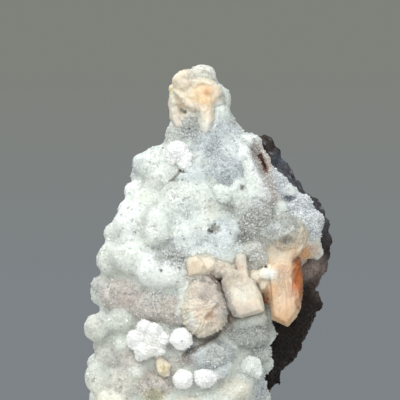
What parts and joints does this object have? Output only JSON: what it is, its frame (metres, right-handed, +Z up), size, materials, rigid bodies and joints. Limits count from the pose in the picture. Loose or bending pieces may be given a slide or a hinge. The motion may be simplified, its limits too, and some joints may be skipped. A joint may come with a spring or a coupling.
{
  "type": "apophyllite and stilbite mineral cluster",
  "caption": "Standing mineral cluster: a sparkling knobbly white druse rising to a slender finger over dark basalt, with peach stilbite blades and small white puffballs.",
  "frame": {"origin": "on the flat base, under the middle of the bounding box", "axes": "+Z up along the finger; -Y towards the druse-covered front; +X towards the side where the basalt shows"},
  "size_m": [0.0622, 0.052, 0.094],
  "materials": {
    "basalt": "rough broken basalt, dark brown-grey with paler mauve patches",
    "druse": "sparkling micro-crystals, milky white to pale blue-grey with a mauve band",
    "white_needles": "matt silky white radiating needles",
    "stilbite_cream": "pearly translucent cream",
    "stilbite_peach": "pearly translucent peach",
    "stilbite_orange": "glassy to pearly orange-peach, paler towards the head",
    "spherule": "dull cream-yellow"
  },
  "bodies": {
    "root": {"basalt_matrix": "basalt", "apophyllite_druse": "druse", "stilbite_finger_wrap": "stilbite_cream", "stilbite_bow_tie": "stilbite_orange", "stilbite_centre_blade": "stilbite_peach", "stilbite_rosette": "stilbite_peach", "stilbite_upper_blade": "stilbite_cream", "puffball_neck": "white_needles", "puffball_small": "white_needles", "puffball_cluster": "white_needles", "puffball_round": "white_needles", "puffball_low_left": "white_needles", "puffball_low_middle": "white_needles", "puffball_low_right": "white_needles", "cream_spherule": "spherule"}
  },
  "joints": []
}
